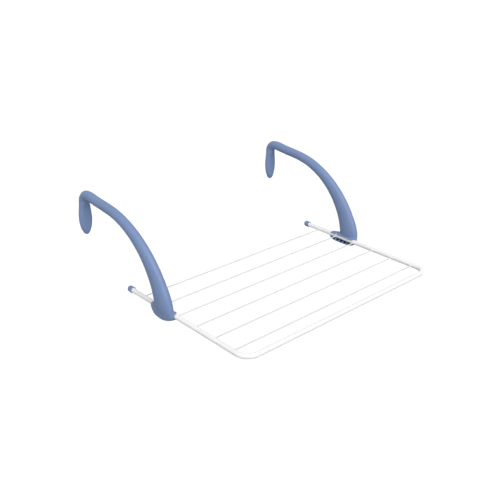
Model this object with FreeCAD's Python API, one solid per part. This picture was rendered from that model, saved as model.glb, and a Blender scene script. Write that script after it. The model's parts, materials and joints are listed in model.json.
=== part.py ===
import FreeCAD, Part
import math
import os

from FreeCAD import Vector

# Hook-over folding drying rack, in millimetres.
# Row frame: +X to the right of a person who faces the wall, +Y towards the wall, +Z up.
# The origin is the rail seat: midway between the two hooks, in the plane of the tongues'
# flat inner faces, at the height where the arms' undersides rest on the rail.
#
# Working coordinates of one side: x inboard from the leg tube's axis, d forward from the
# tongues' inner faces, h up from the tube axis.  place() turns them into the row frame.

# Frame: a bent tube, with straight drying wires welded between its legs
TUBE_SPACING = 600.0
TUBE_RADIUS = 6.0
TUBE_WALL = 1.0
BEND_RADIUS = 31.0
TUBE_REAR = 156.0
FRONT_BAR = 571.2
FIRST_WIRE = 211.5
WIRE_PITCH = 63.35
WIRE_COUNT = 6
WIRE_RADIUS = 1.5
SEAT_RISE = 184.5

# End caps
CAP_RADIUS = 7.8
CAP_LENGTH = 18.0
CAP_GRIP = 13.0
CAP_RIM = 1.2

# Arm: the limb runs from the foot up a long arc, then on a shallow straight to the crown.
# Its oval section swells towards the foot; leans are in degrees down from level.
ARM_OFFSET = -10.0
SHELL_WALL = 2.5
ARC_RADIUS = 231.0
ARC_CENTRE_D = 83.1
ARC_CENTRE_H = -40.6
CROWN_SLOPE = 5.25
ARC_LAST = 74.0
CORE_FIRST = 69.0
ARC_STEPS = 8
CROWN_STEPS = 3
LIMB_THICK = 12.2
LIMB_THICK_GAIN = 16.5
LIMB_WIDE = 11.3
LIMB_WIDE_GAIN = 4.0
FLARE_SPAN = 70.0

# Hook: a tight bend from the crown down into a leaf-shaped tongue
HOOK_BEND = 21.5
TONGUE_CENTRE_D = -5.5
TONGUE_TIP_H = 91.0
PAD_TOP_H = 160.0
PAD_BLEND = 20.0
PAD_BLEND_RISE = 16.0
PAD_DEPTH = 12.0
PAD_REACH = 30.0
# lean, half thickness, half width
BEND_SHAPE = ((-22, 12.2, 11.4), (-50, 12.2, 11.9), (-75, 12.0, 12.7))
# share of the drop to the tip, how far the centre sits back, half thickness, half width
TONGUE_SHAPE = (
    (0.06, 1.3, 12.0, 13.8),
    (0.20, 1.6, 11.4, 15.6),
    (0.36, 2.1, 10.8, 17.2),
    (0.54, 2.3, 10.3, 17.2),
    (0.72, 2.2, 9.6, 15.0),
    (0.86, 2.2, 8.0, 11.2),
    (0.95, 2.4, 5.4, 6.9),
    (0.99, 2.6, 2.6, 3.0),
)

# Foot: a C-shaped clip that wraps the leg tube between wires 2 and 3
CLIP_CLEARANCE = 0.05
CLIP_SKIN = 2.4
CLIP_MOUTH_TOP = 34.0
CLIP_MOUTH_LOW = -48.0
FOOT_REAR = 248.5
FOOT_FRONT = 339.3
FOOT_WIDEST = 0.55
FOOT_STATIONS = (0.0, 0.05, 0.12, 0.22, 0.36, 0.55, 0.70, 0.82, 0.90, 0.96, 1.0)
FOOT_BOTTOM = -15.7
FOOT_OUTER = -23.0
FOOT_TOP = 10.5
FOOT_INNER = 11.8
FOOT_ROUND_TOP = 1.0
FOOT_SQUARE_KEEL = 0.66
# how the foot draws in towards each end: share lost at the end, power
REAR_TAPER = {"outer": (0.68, 1.8), "inner": (0.75, 7.0), "top": (0.62, 4.0), "bottom": (0.62, 3.5)}
FRONT_TAPER = {"outer": (0.66, 3.2), "inner": (0.25, 4.0), "top": (0.22, 5.0), "bottom": (0.62, 3.4)}
# lean, half thickness, half width of the limb's swell under the foot
FOOT_TAPER = ((82.3, 18.0, 6.0), (81.0, 23.0, 10.0), (78.5, 27.5, 13.3))
SWELL_INNER = ARM_OFFSET + 3.0
SWELL_TOP = 8.0
FLANGE_FRONT = 331.5
FLANGE_INNER = 3.0

# Lip below the clip's mouth, and the ribbed bays behind it
LIP_INNER = 10.0
LIP_TOP = -11.3
BAY_OUTER = -18.0
BAY_WALL = 1.8
BAY_TOP = 2.0
END_BAY_OUTER = -9.0
REAR_BAY_SETBACK = 7.0
FRONT_BAY_INNER = 7.0
FRONT_BAY_FLOOR = -7.5
RIB_COUNT = 6
RIB_THICK = 2.0

# Slots that let wires 2 and 3 swing past as the arm folds, and the posts they rest on
SLOT_WIDTH = 3.6
SLOT_DEPTH = -1.6
SLOT_TOP = 26.0
POST_REACH = 8.0
STOP_GAP = 0.3

BORE = TUBE_RADIUS + CLIP_CLEARANCE
HALF = TUBE_SPACING / 2.0
SECTION_POINTS = 20
CLEAR = 20.0
FAR = 40.0


def place(x, d, h):
    """Row-frame point of the left-hand side."""
    return Vector(x - HALF, -d, h - SEAT_RISE)


def wire_at(index):
    """Forward distance of a drying wire, 1 being the one nearest the wall."""
    return FIRST_WIRE + (index - 1) * WIRE_PITCH


def mirrored(shape):
    """The right-hand twin of a left-hand shape."""
    return shape.mirror(Vector(0, 0, 0), Vector(1, 0, 0))


def block(x0, x1, d0, d1, h0, h1):
    """Box between two corners in working coordinates."""
    return Part.makeBox(x1 - x0, d1 - d0, h1 - h0, place(x0, d1, h0))


def rod(radius, d0, d1):
    """Cylinder on the leg tube's axis."""
    return Part.makeCylinder(radius, d1 - d0, place(0, d1, 0), Vector(0, 1, 0))


# Frame tube, wires and caps

def flip(point):
    """The same point on the right-hand side."""
    return Vector(-point.x, point.y, point.z)


def leg_path():
    """Centre line of the U-shaped frame tube."""
    left_rear = place(0, TUBE_REAR, 0)
    left_bend = place(0, FRONT_BAR - BEND_RADIUS, 0)
    bar_left = place(BEND_RADIUS, FRONT_BAR, 0)
    swing = BEND_RADIUS * (1.0 - math.cos(math.radians(45)))
    bend_mid = place(swing, FRONT_BAR - swing, 0)
    return Part.Wire([
        Part.LineSegment(left_rear, left_bend).toShape(),
        Part.Arc(left_bend, bend_mid, bar_left).toShape(),
        Part.LineSegment(bar_left, flip(bar_left)).toShape(),
        Part.Arc(flip(bar_left), flip(bend_mid), flip(left_bend)).toShape(),
        Part.LineSegment(flip(left_bend), flip(left_rear)).toShape(),
    ])


def swept_rod(path, radius):
    """Round bar along a path that starts at the left leg's rear end."""
    start = place(0, TUBE_REAR, 0)
    ring = Part.Wire(Part.makeCircle(radius, start, Vector(0, 1, 0)))
    return path.makePipeShell([ring], True, True)


def frame_tube():
    path = leg_path()
    outside = swept_rod(path, TUBE_RADIUS)
    return outside.cut(swept_rod(path, TUBE_RADIUS - TUBE_WALL))


def drying_wire(index):
    """Straight wire, its ends cut to the round of the legs that they are welded to."""
    d = wire_at(index)
    straight = Part.makeCylinder(WIRE_RADIUS, TUBE_SPACING, place(0, d, 0), Vector(1, 0, 0))
    left_leg = rod(TUBE_RADIUS, d - 2 * TUBE_RADIUS, d + 2 * TUBE_RADIUS)
    return straight.cut(left_leg).cut(mirrored(left_leg))


def end_cap():
    """Domed plastic cap that covers the rear end of a leg."""
    rear = TUBE_REAR + CAP_GRIP - CAP_LENGTH
    shoulder = rear + CAP_RADIUS
    mouth = TUBE_REAR + CAP_GRIP
    rim = CAP_RIM * (1.0 - math.sqrt(0.5))
    turn = CAP_RADIUS * math.sqrt(0.5)
    outline = Part.Wire([
        Part.Arc(place(0, rear, 0), place(0, shoulder - turn, turn),
                 place(0, shoulder, CAP_RADIUS)).toShape(),
        Part.LineSegment(place(0, shoulder, CAP_RADIUS),
                         place(0, mouth - CAP_RIM, CAP_RADIUS)).toShape(),
        Part.Arc(place(0, mouth - CAP_RIM, CAP_RADIUS), place(0, mouth - rim, CAP_RADIUS - rim),
                 place(0, mouth, CAP_RADIUS - CAP_RIM)).toShape(),
        Part.LineSegment(place(0, mouth, CAP_RADIUS - CAP_RIM), place(0, mouth, 0)).toShape(),
        Part.LineSegment(place(0, mouth, 0), place(0, rear, 0)).toShape(),
    ])
    body = Part.Face(outline).revolve(place(0, rear, 0), Vector(0, 1, 0), 360)
    return body.cut(rod(TUBE_RADIUS, TUBE_REAR, mouth + 1.0))


# Arm

def oval(d, h, lean, half_thick, half_wide):
    """Elliptical section; lean is how far the spine has turned down from level, in degrees."""
    up_d = math.sin(math.radians(lean))
    up_h = math.cos(math.radians(lean))
    points = []
    for k in range(SECTION_POINTS):
        turn = 2.0 * math.pi * k / SECTION_POINTS
        across = half_wide * math.cos(turn)
        rise = half_thick * math.sin(turn)
        points.append(place(ARM_OFFSET + across, d + rise * up_d, h + rise * up_h))
    curve = Part.BSplineCurve()
    curve.interpolate(points, PeriodicFlag=True)
    return Part.Wire(curve.toShape())


def arc_station(lean, shrink=0.0):
    """Section of the limb where its arc has turned down by lean degrees."""
    flare = max(0.0, (lean - CROWN_SLOPE) / FLARE_SPAN) ** 2
    angle = math.radians(lean)
    d = ARC_CENTRE_D + ARC_RADIUS * math.sin(angle)
    h = ARC_CENTRE_H + ARC_RADIUS * math.cos(angle)
    thick = LIMB_THICK + LIMB_THICK_GAIN * flare - shrink
    wide = LIMB_WIDE + LIMB_WIDE_GAIN * flare - shrink
    return oval(d, h, lean, thick, wide)


def crown_point(back):
    """Point on the crown's straight run, back millimetres behind the end of the arc."""
    angle = math.radians(CROWN_SLOPE)
    d = ARC_CENTRE_D + ARC_RADIUS * math.sin(angle) - back * math.cos(angle)
    h = ARC_CENTRE_H + ARC_RADIUS * math.cos(angle) + back * math.sin(angle)
    return d, h


def crown_length():
    """Length of the straight run, up to where the hook's bend starts."""
    bend_start = TONGUE_CENTRE_D + HOOK_BEND
    arc_end = crown_point(0)[0]
    return (arc_end - bend_start) / math.cos(math.radians(CROWN_SLOPE))


def limb_sections(shrink=0.0):
    """Sections from the foot up to the start of the hook's bend."""
    first = ARC_LAST if shrink == 0.0 else CORE_FIRST
    step = (first - CROWN_SLOPE) / ARC_STEPS
    sections = [arc_station(first - k * step, shrink) for k in range(ARC_STEPS + 1)]
    for k in range(1, CROWN_STEPS + 1):
        d, h = crown_point(crown_length() * k / CROWN_STEPS)
        sections.append(oval(d, h, CROWN_SLOPE, LIMB_THICK - shrink, LIMB_WIDE - shrink))
    return sections


def hook_sections():
    """Sections round the bend and down the tongue to its rounded tip."""
    d0, h0 = crown_point(crown_length())
    slope = math.radians(CROWN_SLOPE)
    centre_d = d0 - HOOK_BEND * math.sin(slope)
    centre_h = h0 - HOOK_BEND * math.cos(slope)
    sections = []
    for lean, thick, wide in BEND_SHAPE:
        angle = math.radians(lean)
        d = centre_d + HOOK_BEND * math.sin(angle)
        h = centre_h + HOOK_BEND * math.cos(angle)
        sections.append(oval(d, h, lean, thick, wide))
    drop = centre_h - TONGUE_TIP_H
    for part, back, thick, wide in TONGUE_SHAPE:
        sections.append(oval(TONGUE_CENTRE_D - back, centre_h - part * drop, -90, thick, wide))
    return sections


def foot_taper():
    """Sections that bring the limb's outboard swell in to the underside of the foot."""
    sections = []
    for lean, thick, wide in FOOT_TAPER:
        angle = math.radians(lean)
        d = ARC_CENTRE_D + ARC_RADIUS * math.sin(angle)
        h = ARC_CENTRE_H + ARC_RADIUS * math.cos(angle)
        sections.append(oval(d, h, lean, thick, wide))
    return sections


def foot_section(d, outer, inner, top, bottom):
    """Closed section of the foot's outside across the tube: round above, fuller below."""
    half_x = (inner - outer) / 2.0
    half_h = (top - bottom) / 2.0
    points = []
    for k in range(SECTION_POINTS):
        turn = 2.0 * math.pi * k / SECTION_POINTS
        c, s = math.cos(turn), math.sin(turn)
        power = FOOT_ROUND_TOP if s > 0 else FOOT_SQUARE_KEEL
        across = math.copysign(abs(c) ** power, c)
        rise = math.copysign(abs(s) ** power, s)
        points.append(place((inner + outer) / 2.0 + half_x * across, d, (top + bottom) / 2.0 + half_h * rise))
    curve = Part.BSplineCurve()
    curve.interpolate(points, PeriodicFlag=True)
    return Part.Wire(curve.toShape())


def drawn_in(size, taper, away):
    """A size of the foot, less the share that its taper takes at this distance from the widest."""
    share, power = taper
    return size * (1.0 - share * away ** power)


def foot_hull(wall=0.0):
    """Boat-shaped outside of the foot, or its inside at a wall's depth: a long taper to the
    rear and a short blunt front."""
    sections = []
    for part in FOOT_STATIONS:
        if part < FOOT_WIDEST:
            taper = REAR_TAPER
            away = (FOOT_WIDEST - part) / FOOT_WIDEST
        else:
            taper = FRONT_TAPER
            away = (part - FOOT_WIDEST) / (1.0 - FOOT_WIDEST)
        sections.append(foot_section(
            FOOT_REAR + part * (FOOT_FRONT - FOOT_REAR),
            drawn_in(FOOT_OUTER, taper["outer"], away) + wall,
            drawn_in(FOOT_INNER, taper["inner"], away) - wall,
            drawn_in(FOOT_TOP, taper["top"], away) - wall,
            drawn_in(FOOT_BOTTOM, taper["bottom"], away) + wall,
        ))
    return Part.makeLoft(sections, True, False)


def prism(points):
    """Straight prism along the whole foot with the given outline across the tube."""
    start = FOOT_FRONT + CLEAR
    corners = [place(x, start, h) for x, h in points]
    face = Part.Face(Part.makePolygon(corners + corners[:1]))
    return face.extrude(Vector(0, FOOT_FRONT - FOOT_REAR + 2 * CLEAR, 0))


def polar(radius, degrees):
    """Point across the tube at an angle above the inboard horizontal."""
    angle = math.radians(degrees)
    return radius * math.cos(angle), radius * math.sin(angle)


def bays():
    """Open pockets between the ribs, with one more bay behind wire 2 and one ahead of wire 3."""
    pitch = WIRE_PITCH / (RIB_COUNT - 1)
    inside = foot_hull(BAY_WALL)
    pockets = []
    for k in range(RIB_COUNT - 1):
        start = wire_at(2) + k * pitch + RIB_THICK / 2.0
        pockets.append(block(BAY_OUTER, FAR, start, start + pitch - RIB_THICK, -FAR, BAY_TOP).common(inside))
    rear = block(END_BAY_OUTER, FAR, FOOT_REAR + REAR_BAY_SETBACK, wire_at(2) - RIB_THICK, -FAR, 0.0)
    pockets.append(rear.common(inside))
    pockets.append(block(END_BAY_OUTER, FRONT_BAY_INNER, wire_at(3) + RIB_THICK, FOOT_FRONT + CLEAR,
                         FRONT_BAY_FLOOR, 0.0))
    return pockets


def foot():
    """Clip: hull, flange over the tube, open mouth towards the wires and ribbed bays."""
    over_flange = prism([(0, 0), (0, FAR), (FAR, FAR), polar(FAR, CLIP_MOUTH_TOP)])
    over_flange = over_flange.cut(rod(BORE + CLIP_SKIN, FOOT_REAR - CLEAR, FOOT_FRONT + CLEAR))
    mouth = prism([(0, 0), polar(FAR, CLIP_MOUTH_TOP), (FAR, LIP_TOP), (LIP_INNER, LIP_TOP),
                   polar(BORE, CLIP_MOUTH_LOW)])
    beyond_flange = block(FLANGE_INNER, FAR, FLANGE_FRONT, FOOT_FRONT + CLEAR, 0.0, FAR)
    hull = foot_hull()
    clip = hull.cut(over_flange).cut(mouth).cut(beyond_flange)
    for bay in bays():
        clip = clip.cut(bay)
    for index in (2, 3):
        d = wire_at(index)
        post = block(0.0, POST_REACH, d - RIB_THICK / 2, d + RIB_THICK / 2, FOOT_BOTTOM, -WIRE_RADIUS - STOP_GAP)
        clip = clip.fuse(hull.common(post))
    return clip


def pad_cutter():
    """Solid in front of the tongue's flat inner face, its top rounded into the hook's bend."""
    side = ARM_OFFSET - PAD_REACH
    low = TONGUE_TIP_H - CLEAR
    arc = []
    for share in (0.0, 0.5, 1.0):
        rise = share * PAD_BLEND_RISE
        arc.append(place(side, PAD_BLEND - math.sqrt(PAD_BLEND ** 2 - rise ** 2), PAD_TOP_H + rise))
    corners = [arc[2], place(side, PAD_DEPTH, PAD_TOP_H + PAD_BLEND_RISE), place(side, PAD_DEPTH, low),
               place(side, 0.0, low), arc[0]]
    edges = [Part.Arc(*arc).toShape()]
    for start, end in zip(corners, corners[1:]):
        edges.append(Part.LineSegment(start, end).toShape())
    return Part.Face(Part.Wire(edges)).extrude(Vector(2 * PAD_REACH, 0, 0))


def arm():
    """Left arm: hook, limb and foot in one moulding, hollow along the limb."""
    body = Part.makeLoft(foot_taper() + limb_sections() + hook_sections(), True, False)
    over_clip = block(SWELL_INNER, FAR, FOOT_REAR - CLEAR, FOOT_FRONT + CLEAR, -FAR, SWELL_TOP)
    core = Part.makeLoft(limb_sections(SHELL_WALL), True, False)
    whole = body.cut(over_clip).cut(pad_cutter()).cut(core).fuse(foot())
    for index in (2, 3):
        d = wire_at(index)
        whole = whole.cut(block(SLOT_DEPTH, FAR, d - SLOT_WIDTH / 2, d + SLOT_WIDTH / 2,
                                -WIRE_RADIUS - STOP_GAP, SLOT_TOP))
    return whole.cut(rod(BORE, FOOT_REAR - CLEAR, FOOT_FRONT + CLEAR)).removeSplitter()


def main():
    left_arm = arm()
    left_cap = end_cap()
    nodes = {
        "frame_tube": frame_tube(),
        "end_cap_left": left_cap,
        "end_cap_right": mirrored(left_cap),
        "left_arm": left_arm,
        "right_arm": mirrored(left_arm),
    }
    for index in range(1, WIRE_COUNT + 1):
        nodes["wire_%d" % index] = drying_wire(index)
    os.makedirs("parts", exist_ok=True)
    for name, shape in nodes.items():
        shape.exportStep("parts/%s.step" % name)
        print(name, shape.ShapeType, len(shape.Solids), shape.isValid(), round(shape.Volume / 1000.0, 2), "cm3")


main()
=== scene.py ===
import json
import math

import bmesh
import bpy
import numpy as np
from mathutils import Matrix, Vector


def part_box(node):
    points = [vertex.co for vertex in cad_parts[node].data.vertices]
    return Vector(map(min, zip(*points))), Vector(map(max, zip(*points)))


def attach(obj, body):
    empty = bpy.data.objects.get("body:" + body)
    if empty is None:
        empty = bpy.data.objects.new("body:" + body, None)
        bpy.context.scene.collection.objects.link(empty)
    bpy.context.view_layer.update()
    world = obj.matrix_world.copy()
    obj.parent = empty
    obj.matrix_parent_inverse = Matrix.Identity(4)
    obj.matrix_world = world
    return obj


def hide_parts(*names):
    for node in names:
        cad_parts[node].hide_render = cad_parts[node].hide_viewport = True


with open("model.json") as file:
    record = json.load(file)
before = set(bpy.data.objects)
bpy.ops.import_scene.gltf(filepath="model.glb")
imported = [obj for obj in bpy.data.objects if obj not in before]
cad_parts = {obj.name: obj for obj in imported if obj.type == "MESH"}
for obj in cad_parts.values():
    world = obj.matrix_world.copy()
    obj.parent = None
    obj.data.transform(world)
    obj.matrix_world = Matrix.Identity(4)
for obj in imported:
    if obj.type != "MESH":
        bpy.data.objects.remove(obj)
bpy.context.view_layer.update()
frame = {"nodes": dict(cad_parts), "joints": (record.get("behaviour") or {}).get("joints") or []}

# Hook-over folding drying rack, in metres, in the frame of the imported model:
# +X right, +Y towards the wall, +Z up, origin midway between the hooks at the rail seat.

# Camera of the reference view
CAMERA_PLACE = (-1.1379, -1.5142, 0.6371)
CAMERA_TILT = 65.316
CAMERA_ROLL = 0.073
CAMERA_HEADING = -41.985
CAMERA_LENS = 53.58

# Light
SKY_ABOVE = 0.66
SKY_BELOW = 0.50
KEY_FROM = (-0.35, -0.75, 0.80)
KEY_STRENGTH = 2.7
KEY_SPREAD = 50
FLOOR_HEIGHT = -0.95
FLOOR_REACH = 60
DOME_RADIUS = 40

# Sizes that the frame fixes
TUBE_LOW, TUBE_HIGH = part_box("frame_tube")
TUBE_RADIUS = (TUBE_HIGH.z - TUBE_LOW.z) / 2
TUBE_AXIS_Z = (TUBE_HIGH.z + TUBE_LOW.z) / 2
LEG_X = abs(frame["joints"][0]["pos_m"][0])
FRONT_BAR_Y = TUBE_LOW.y + TUBE_RADIUS
REAR_END_Y = TUBE_HIGH.y
WIRES = [name for name in sorted(frame["nodes"]) if name.startswith("wire_")]

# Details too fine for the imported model
TUBE_WALL = 0.001
BEND_RADIUS = 0.031
BEND_STEPS = 28
TUBE_SIDES = 56
SHARP_DEGREES = 50
WIRE_SIDES = 28
BEAD_ROOT = 0.0006
BEAD_STEPS = 8
BEAD_REACH = 0.0024
BEAD_SWELL = 0.0011
BEAD_SWELL_AT_FEET = 0.0002
CAP_SIDES = 56
CAP_RIM = 0.0012
CAP_STEPS = 12
BEVEL_START = 0.0003
BEVEL_END = 0.001
BEVEL_WIDTH = 0.0002

ARM_VOXEL = 0.00092
SOFTEN_STRENGTH = 0.5
SOFTEN_ROUNDS = 4
BLEND_ROUNDS = 68
NECK_SHARE = 0.7
BORE_GAP = 0.0001

# Edges of the arms' blended regions, each a soft step between two places along one axis
BLEND_OUTBOARD = (-LEG_X - 0.009, -LEG_X - 0.003)
BLEND_LOW = (-0.155, -0.135)
NECK_REAR = (-0.030, -0.020)
NECK_FOOT = (-0.055, -0.035)
NECK_HEAD = (-0.004, 0.004)

# Colours: the two mottled shades of each coat, and a painted shade for the blue plastic's recesses and
# creases
BLUE_LIGHT = (0.152, 0.218, 0.385, 1)
BLUE_DARK = (0.143, 0.207, 0.368, 1)
# Painted shade: the near-black navy that the plastic's colour is darkened to in its recesses
BLUE_PAINTED_SHADE = (0.010, 0.018, 0.034, 1)
TUBE_LIGHT = (0.76, 0.76, 0.76, 1)
TUBE_DARK = (0.73, 0.73, 0.735, 1)
WIRE_LIGHT = (0.62, 0.62, 0.62, 1)
WIRE_DARK = (0.59, 0.59, 0.595, 1)
FLOOR_WHITE = (0.86, 0.86, 0.86, 1)


# Geometry helpers

def ringed(name, stations, sides, loop=False):
    """Round piece through stations of (centre, across, up, radius); radius 0 ends in a point."""
    bm = bmesh.new()
    rings = []
    for centre, across, up, radius in stations:
        if radius == 0:
            rings.append([bm.verts.new(centre)])
            continue
        ring = []
        for k in range(sides):
            turn = 2 * math.pi * k / sides
            ring.append(bm.verts.new(centre + radius * (across * math.cos(turn) + up * math.sin(turn))))
        rings.append(ring)
    pairs = list(zip(rings, rings[1:]))
    if loop:
        pairs.append((rings[-1], rings[0]))
    for a, b in pairs:
        for k in range(sides):
            following = (k + 1) % sides
            if len(a) == 1:
                bm.faces.new((a[0], b[following], b[k]))
            elif len(b) == 1:
                bm.faces.new((a[k], a[following], b[0]))
            else:
                bm.faces.new((a[k], a[following], b[following], b[k]))
    bmesh.ops.recalc_face_normals(bm, faces=bm.faces)
    mesh = bpy.data.meshes.new(name)
    bm.to_mesh(mesh)
    bm.free()
    return shown(name, mesh)


def shown(name, mesh):
    """Object of a mesh, smooth-shaded."""
    mesh.shade_smooth()
    piece = bpy.data.objects.new(name, mesh)
    bpy.context.scene.collection.objects.link(piece)
    return piece


def mark_sharp(piece, degrees):
    """Keeps edges sharper than an angle crisp in a smooth-shaded mesh."""
    bm = bmesh.new()
    bm.from_mesh(piece.data)
    limit = math.radians(degrees)
    for edge in bm.edges:
        if len(edge.link_faces) == 2 and edge.calc_face_angle() > limit:
            edge.smooth = False
    bm.to_mesh(piece.data)
    bm.free()


# Frame tube

def leg_line():
    """Points and directions along the tube's centre line, from the left leg's rear end to the right leg's."""
    bend_y = FRONT_BAR_Y + BEND_RADIUS
    line = [(Vector((-LEG_X, REAR_END_Y, TUBE_AXIS_Z)), Vector((0, -1, 0)))]
    for side in (-1, 1):
        centre = Vector((side * (LEG_X - BEND_RADIUS), bend_y, TUBE_AXIS_Z))
        for k in range(BEND_STEPS + 1):
            turn = math.radians(90) * k / BEND_STEPS
            if side > 0:
                turn = math.radians(90) - turn
            out = Vector((side * math.cos(turn), -math.sin(turn), 0))
            along = Vector((0, 0, 1)).cross(out)
            line.append((centre + BEND_RADIUS * out, along))
    line.append((Vector((LEG_X, REAR_END_Y, TUBE_AXIS_Z)), Vector((0, 1, 0))))
    return line


def frame_tube():
    """Hollow U-shaped tube with its true wall."""
    up = Vector((0, 0, 1))
    outside = [(point, along.cross(up), up, TUBE_RADIUS) for point, along in leg_line()]
    inside = [(point, across, up, TUBE_RADIUS - TUBE_WALL) for point, across, _, _ in reversed(outside)]
    tube = ringed("tube_frame", outside + inside, TUBE_SIDES, loop=True)
    mark_sharp(tube, SHARP_DEGREES)
    return tube


# Drying wires

def drying_wire(node):
    """Straight wire that flares into a small weld bead on each leg."""
    low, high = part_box(node)
    radius = (high.z - low.z) / 2
    y = (high.y + low.y) / 2
    z = (high.z + low.z) / 2
    inner = LEG_X - TUBE_RADIUS
    swell = BEAD_SWELL_AT_FEET if node in ("wire_2", "wire_3") else BEAD_SWELL
    half = [(inner + BEAD_ROOT, 0.0), (inner + BEAD_ROOT, radius + swell)]
    for k in range(BEAD_STEPS + 1):
        share = k / BEAD_STEPS
        half.append((inner - share * BEAD_REACH, radius + swell * (1 - share) ** 2))
    across = Vector((0, 1, 0))
    up = Vector((0, 0, 1))
    left = [(Vector((-x, y, z)), across, up, r) for x, r in half]
    right = [(Vector((x, y, z)), across, up, r) for x, r in reversed(half)]
    return ringed("dry" + node, left + right, WIRE_SIDES)


# End caps

def end_cap(side):
    """Hollow domed cap over a leg's rear end, with a rounded rim at its mouth."""
    low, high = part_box("end_cap_left" if side < 0 else "end_cap_right")
    radius = (high.z - low.z) / 2
    rear, mouth = high.y, low.y
    quarter = [math.radians(90) * k / CAP_STEPS for k in range(CAP_STEPS + 1)]
    profile = []
    for turn in quarter:
        profile.append((rear - radius * (1 - math.cos(turn)), radius * math.sin(turn)))
    rim_y = mouth + CAP_RIM
    rim_reach = radius - CAP_RIM
    for turn in quarter:
        profile.append((rim_y - CAP_RIM * math.sin(turn), rim_reach + CAP_RIM * math.cos(turn)))
    profile += [
        (mouth + BEVEL_START, TUBE_RADIUS + BEVEL_WIDTH),
        (mouth + BEVEL_END, TUBE_RADIUS),
        (REAR_END_Y, TUBE_RADIUS),
        (REAR_END_Y, 0.0),
    ]
    across = Vector((1, 0, 0))
    up = Vector((0, 0, 1))
    stations = [(Vector((side * LEG_X, y, TUBE_AXIS_Z)), across, up, r) for y, r in profile]
    cap = ringed("cap_left" if side < 0 else "cap_right", stations, CAP_SIDES)
    mark_sharp(cap, SHARP_DEGREES)
    return cap


# Arms

def outer_shell(node):
    """Mesh of a CAD node's outside, without the wall of its closed hollow."""
    bm = bmesh.new()
    bm.from_mesh(frame["nodes"][node].data)
    bmesh.ops.remove_doubles(bm, verts=bm.verts, dist=1e-6)
    bm.verts.ensure_lookup_table()
    unseen = set(bm.verts)
    islands = []
    while unseen:
        stack = [unseen.pop()]
        island = list(stack)
        while stack:
            for edge in stack.pop().link_edges:
                for vert in edge.verts:
                    if vert in unseen:
                        unseen.remove(vert)
                        stack.append(vert)
                        island.append(vert)
        islands.append(island)
    islands.sort(key=lambda island: max(v.co.y for v in island) - min(v.co.y for v in island))
    for island in islands[:-1]:
        bmesh.ops.delete(bm, geom=island, context="VERTS")
    mesh = bpy.data.meshes.new(node + "_shell")
    bm.to_mesh(mesh)
    bm.free()
    return mesh


def remeshed(mesh, voxel):
    """Even quad mesh of a closed shape."""
    piece = bpy.data.objects.new("remesh_source", mesh)
    bpy.context.scene.collection.objects.link(piece)
    modifier = piece.modifiers.new("even", "REMESH")
    modifier.mode = "VOXEL"
    modifier.voxel_size = voxel
    evaluated = piece.evaluated_get(bpy.context.evaluated_depsgraph_get())
    result = bpy.data.meshes.new_from_object(evaluated)
    bpy.data.objects.remove(piece)
    return result


def read_points(mesh):
    points = np.zeros(len(mesh.vertices) * 3)
    mesh.vertices.foreach_get("co", points)
    return points.reshape(-1, 3)


def soften(mesh, rounds, strength):
    """Laplacian smoothing, with a strength from 0 to 1 for each vertex."""
    points = read_points(mesh)
    ends = np.zeros(len(mesh.edges) * 2, int)
    mesh.edges.foreach_get("vertices", ends)
    a, b = ends.reshape(-1, 2).T
    count = np.bincount(a, minlength=len(points)) + np.bincount(b, minlength=len(points))
    for _ in range(rounds):
        for axis in range(3):
            column = points[:, axis]
            total = np.bincount(a, column[b], len(points)) + np.bincount(b, column[a], len(points))
            points[:, axis] = column + strength * (total / count - column)
    mesh.vertices.foreach_set("co", points.ravel())
    mesh.update()


def step(values, start, end):
    """0 before start, 1 after end, smooth between."""
    share = np.clip((values - start) / (end - start), 0, 1)
    return share * share * (3 - 2 * share)


def blend_strength(points):
    """How much to blend, 0 to 1: where the limb runs into its foot, and the hook into its tongue."""
    outboard = 1 - step(points[:, 0], *BLEND_OUTBOARD)
    low = 1 - step(points[:, 2], *BLEND_LOW)
    hooked = step(points[:, 1], *NECK_REAR)
    neck = step(points[:, 2], *NECK_FOOT) * (1 - step(points[:, 2], *NECK_HEAD))
    return np.maximum(outboard * low, NECK_SHARE * hooked * neck)


def clear_bore(mesh):
    """Keeps the clip's bore just off the tube."""
    points = read_points(mesh)
    out = points[:, [0, 2]] - np.array((-LEG_X, TUBE_AXIS_Z))
    reach = np.hypot(out[:, 0], out[:, 1])
    bore = TUBE_RADIUS + BORE_GAP
    near = (reach < bore) & (reach > TUBE_RADIUS / 2)
    points[near, 0] = -LEG_X + out[near, 0] * bore / reach[near]
    points[near, 2] = TUBE_AXIS_Z + out[near, 1] * bore / reach[near]
    mesh.vertices.foreach_set("co", points.ravel())
    mesh.update()


def arms():
    """Both arms: the left one moulded soft from the CAD shape, the right one its mirror image."""
    mesh = remeshed(outer_shell("left_arm"), ARM_VOXEL)
    points = read_points(mesh)
    soften(mesh, SOFTEN_ROUNDS, np.full(len(points), SOFTEN_STRENGTH))
    soften(mesh, BLEND_ROUNDS, SOFTEN_STRENGTH * blend_strength(points))
    clear_bore(mesh)
    twin = mesh.copy()
    points = read_points(twin)
    points[:, 0] *= -1
    twin.vertices.foreach_set("co", points.ravel())
    twin.flip_normals()
    twin.update()
    return shown("arm_left", mesh), shown("arm_right", twin)


# Materials

def new_material(name):
    material = bpy.data.materials.new(name)
    material.use_nodes = True
    return material, material.node_tree.nodes, material.node_tree.links


def noise(nodes, links, scale, detail):
    """Noise in the piece's own coordinates; scale is in features per metre."""
    place = nodes.new("ShaderNodeTexCoord")
    texture = nodes.new("ShaderNodeTexNoise")
    texture.inputs["Scale"].default_value = scale
    texture.inputs["Detail"].default_value = detail
    links.new(place.outputs["Object"], texture.inputs["Vector"])
    return texture.outputs["Fac"]


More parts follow.
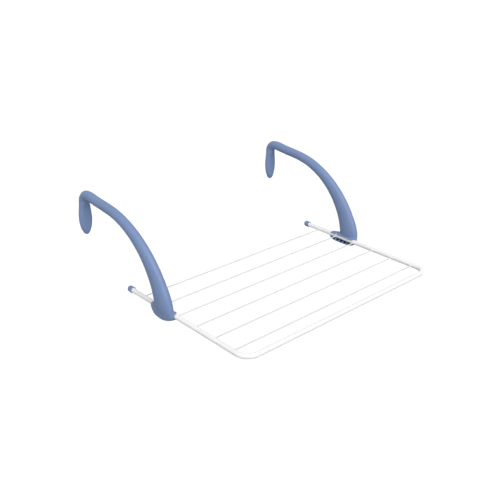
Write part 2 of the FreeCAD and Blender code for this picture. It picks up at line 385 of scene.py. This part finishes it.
def spread(nodes, links, value, low, high):
    """Maps a noise's middle range onto low to high."""
    ramp = nodes.new("ShaderNodeMapRange")
    ramp.inputs["From Min"].default_value = 0.3
    ramp.inputs["From Max"].default_value = 0.7
    ramp.inputs["To Min"].default_value = low
    ramp.inputs["To Max"].default_value = high
    links.new(value, ramp.inputs["Value"])
    return ramp.outputs["Result"]


def mix(nodes, links, share, first, second):
    """Colour mix; each colour is a tuple or a socket."""
    node = nodes.new("ShaderNodeMix")
    node.data_type = "RGBA"
    links.new(share, node.inputs["Factor"])
    for socket, colour in ((node.inputs["A"], first), (node.inputs["B"], second)):
        if isinstance(colour, tuple):
            socket.default_value = colour
        else:
            links.new(colour, socket)
    return node.outputs["Result"]


def moulded_plastic(name, light, dark, painted_shade_colour):
    """Satin injection-moulded plastic: eroded-tool grain, faint flow mottling, and painted shade that darkens
    its recesses and creases.
    """
    material, nodes, links = new_material(name)
    shader = nodes["Principled BSDF"]
    shader.inputs["Specular IOR Level"].default_value = 0.35
    mottling = spread(nodes, links, noise(nodes, links, 28, 3), 0, 1)
    colour = mix(nodes, links, mottling, dark, light)
    # Painted shade: where ambient occlusion finds the plastic enclosed, the colour is darkened towards the
    # painted-shade colour, in recesses and creases
    shade = nodes.new("ShaderNodeAmbientOcclusion")
    shade.inputs["Distance"].default_value = 0.014
    shade.samples = 8
    open_sky = nodes.new("ShaderNodeMapRange")
    open_sky.inputs["From Min"].default_value = 0.1
    open_sky.inputs["From Max"].default_value = 0.42
    links.new(shade.outputs["AO"], open_sky.inputs["Value"])
    colour = mix(nodes, links, open_sky.outputs["Result"], painted_shade_colour, colour)
    links.new(colour, shader.inputs["Base Color"])
    links.new(spread(nodes, links, noise(nodes, links, 160, 2), 0.42, 0.54), shader.inputs["Roughness"])
    bump = nodes.new("ShaderNodeBump")
    bump.inputs["Strength"].default_value = 0.25
    bump.inputs["Distance"].default_value = 0.00008
    links.new(noise(nodes, links, 1500, 2), bump.inputs["Height"])
    links.new(bump.outputs["Normal"], shader.inputs["Normal"])
    return material


def powder_coat(name, light, dark):
    """White powder-coated steel with faint orange peel."""
    material, nodes, links = new_material(name)
    shader = nodes["Principled BSDF"]
    shader.inputs["Specular IOR Level"].default_value = 0.35
    patches = spread(nodes, links, noise(nodes, links, 35, 2), 0, 1)
    links.new(mix(nodes, links, patches, dark, light), shader.inputs["Base Color"])
    links.new(spread(nodes, links, noise(nodes, links, 220, 2), 0.24, 0.34), shader.inputs["Roughness"])
    bump = nodes.new("ShaderNodeBump")
    bump.inputs["Strength"].default_value = 0.2
    bump.inputs["Distance"].default_value = 0.00006
    links.new(noise(nodes, links, 700, 1), bump.inputs["Height"])
    links.new(bump.outputs["Normal"], shader.inputs["Normal"])
    return material


# Stage

def camera():
    data = bpy.data.cameras.new("camera")
    data.lens = CAMERA_LENS
    data.sensor_width = 36
    data.clip_end = 50
    view = bpy.data.objects.new("camera", data)
    view.location = CAMERA_PLACE
    view.rotation_euler = (math.radians(CAMERA_TILT), math.radians(CAMERA_ROLL), math.radians(CAMERA_HEADING))
    bpy.context.scene.collection.objects.link(view)
    bpy.context.scene.camera = view


def soft_sun(name, source, spread_degrees, strength):
    """Very wide sun, so that the light is soft and even; source points towards it."""
    data = bpy.data.lights.new(name, "SUN")
    data.angle = math.radians(spread_degrees)
    data.energy = strength
    light = bpy.data.objects.new(name, data)
    light.rotation_euler = Vector(source).to_track_quat("Z", "Y").to_euler()
    bpy.context.scene.collection.objects.link(light)


def surroundings():
    """White sky above, and a greyer one below that keeps the undersides a little darker."""
    world = bpy.data.worlds.new("studio")
    world.use_nodes = True
    nodes, links = world.node_tree.nodes, world.node_tree.links
    direction = nodes.new("ShaderNodeTexCoord")
    height = nodes.new("ShaderNodeSeparateXYZ")
    links.new(direction.outputs["Generated"], height.inputs["Vector"])
    level = nodes.new("ShaderNodeMapRange")
    level.inputs["From Min"].default_value = -0.35
    level.inputs["From Max"].default_value = 0.25
    level.inputs["To Min"].default_value = SKY_BELOW
    level.inputs["To Max"].default_value = SKY_ABOVE
    links.new(height.outputs["Z"], level.inputs["Value"])
    links.new(level.outputs["Result"], nodes["Background"].inputs["Strength"])
    nodes["Background"].inputs["Color"].default_value = (1, 1, 1, 1)
    bpy.context.scene.world = world


def stage_piece(name, bm, height):
    """Part of the stage at a height; it throws no light back onto the rack."""
    mesh = bpy.data.meshes.new(name)
    bm.to_mesh(mesh)
    bm.free()
    piece = bpy.data.objects.new(name, mesh)
    piece.location = (0, 0, height)
    bpy.context.scene.collection.objects.link(piece)
    piece.visible_diffuse = False
    piece.visible_glossy = False
    material, nodes, _ = new_material(name + "_white")
    mesh.materials.append(material)
    return piece, nodes["Principled BSDF"]


def stage():
    """White floor well below the hanging rack, a white dome behind it, and one large soft light."""
    bm = bmesh.new()
    bmesh.ops.create_grid(bm, x_segments=1, y_segments=1, size=FLOOR_REACH)
    _, shader = stage_piece("floor", bm, FLOOR_HEIGHT)
    shader.inputs["Base Color"].default_value = FLOOR_WHITE
    shader.inputs["Roughness"].default_value = 0.9
    bm = bmesh.new()
    bmesh.ops.create_uvsphere(bm, u_segments=48, v_segments=24, radius=DOME_RADIUS)
    dome, shader = stage_piece("backdrop", bm, 0)
    shader.inputs["Base Color"].default_value = (0, 0, 0, 1)
    shader.inputs["Specular IOR Level"].default_value = 0
    shader.inputs["Emission Color"].default_value = (1, 1, 1, 1)
    shader.inputs["Emission Strength"].default_value = 1
    dome.visible_shadow = False
    surroundings()
    soft_sun("key", KEY_FROM, KEY_SPREAD, KEY_STRENGTH)
    bpy.context.scene.view_settings.view_transform = "Standard"


def dress(piece, material, body, node):
    piece.data.materials.clear()
    piece.data.materials.append(material)
    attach(piece, body)
    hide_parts(node)


camera()
stage()

arm_blue = moulded_plastic("arm_blue", BLUE_LIGHT, BLUE_DARK, BLUE_PAINTED_SHADE)
cap_blue = moulded_plastic("cap_blue", BLUE_LIGHT, BLUE_DARK, BLUE_PAINTED_SHADE)
tube_white = powder_coat("tube_white", TUBE_LIGHT, TUBE_DARK)
wire_white = powder_coat("wire_white", WIRE_LIGHT, WIRE_DARK)

left, right = arms()
dress(left, arm_blue, "left_arm", "left_arm")
dress(right, arm_blue, "right_arm", "right_arm")
dress(end_cap(-1), cap_blue, "frame", "end_cap_left")
dress(end_cap(1), cap_blue, "frame", "end_cap_right")
dress(frame_tube(), tube_white, "frame", "frame_tube")
for wire in WIRES:
    dress(drying_wire(wire), wire_white, "frame", wire)
